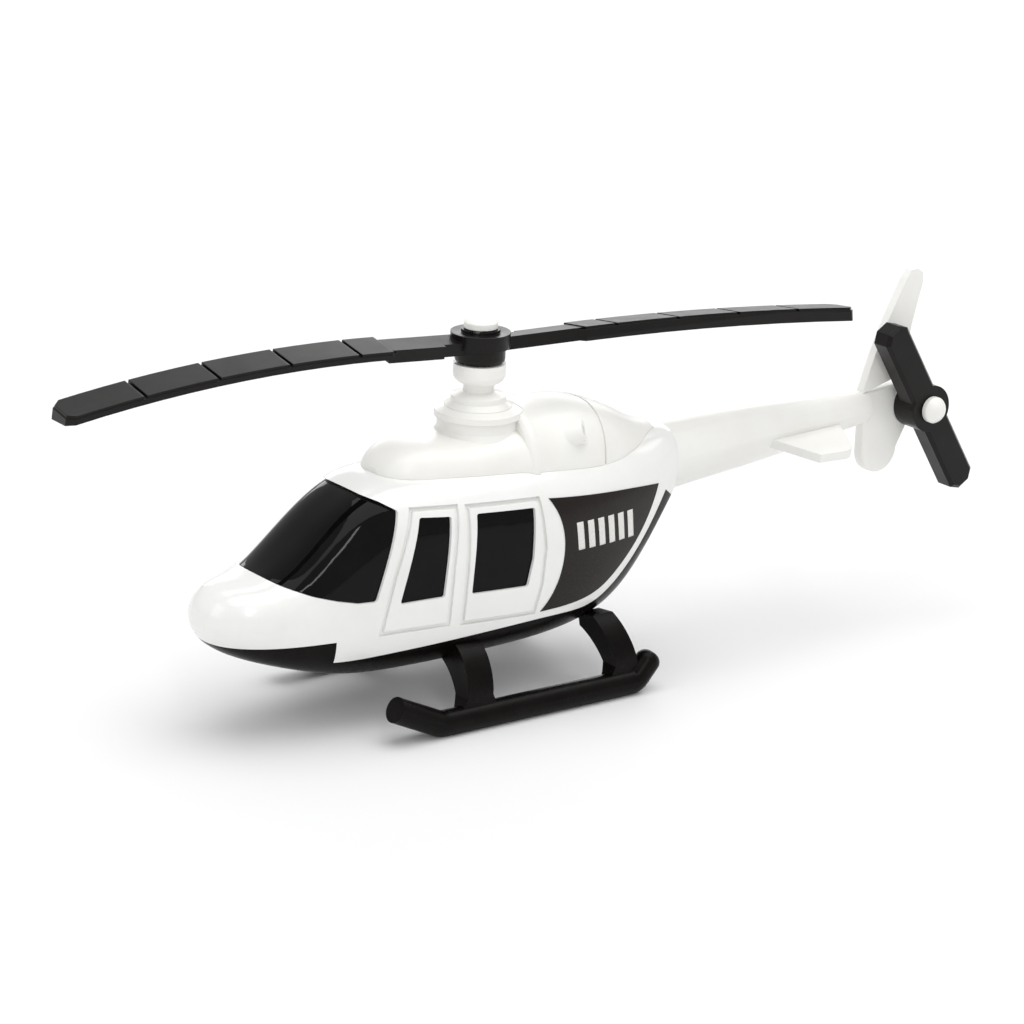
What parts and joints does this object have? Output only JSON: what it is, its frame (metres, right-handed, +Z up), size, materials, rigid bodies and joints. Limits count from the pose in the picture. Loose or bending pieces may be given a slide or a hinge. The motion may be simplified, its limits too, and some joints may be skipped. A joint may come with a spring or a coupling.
{
  "type": "helicopter scale model",
  "caption": "Pocket die-cast helicopter with a white cabin shell, black glazing and skids, and free-spinning main and tail rotors.",
  "frame": {"origin": "point on the floor under the skids that lies on the main rotor's axis", "axes": "+X to the nose, +Y to the port side, +Z up along the main rotor's axis"},
  "size_m": [0.1067, 0.023, 0.0376],
  "materials": {
    "white_paint": "gloss enamel on a zinc die casting",
    "black_gloss": "high gloss",
    "black_plastic": "satin moulded plastic",
    "rotor_plastic": "satin moulded plastic",
    "white_plastic": "satin-gloss moulded plastic",
    "pin_plastic": "gloss moulded plastic",
    "sticker_film": "gloss printed film",
    "rivet_metal": "peened bright zinc"
  },
  "bodies": {
    "airframe": {"fuselage_shell": "white_paint", "cabin_glazing": "black_gloss", "belly_pan": "black_plastic", "port_skid": "black_plastic", "starboard_skid": "black_plastic", "chassis_rivets": "rivet_metal", "port_sticker": "sticker_film", "starboard_sticker": "sticker_film", "transmission_fairing": "white_plastic", "engine_cowling": "white_plastic", "tail_boom": "white_plastic", "rotor_mast": "white_plastic", "main_rotor_pin": "pin_plastic", "tail_rotor_pin": "pin_plastic"},
    "main_rotor": {"main_rotor": "rotor_plastic"},
    "tail_rotor": {"tail_rotor": "rotor_plastic"}
  },
  "joints": [
    {"name": "main_rotor_spin", "type": "hinge", "parent": "airframe", "child": "main_rotor", "pos_m": [0, 0, 0.03465], "axis": [0, 0, 1], "continuous": true},
    {"name": "tail_rotor_spin", "type": "hinge", "parent": "airframe", "child": "tail_rotor", "pos_m": [-0.0559, 0.0029, 0.0213], "axis": [0, 1, 0], "continuous": true}
  ]
}
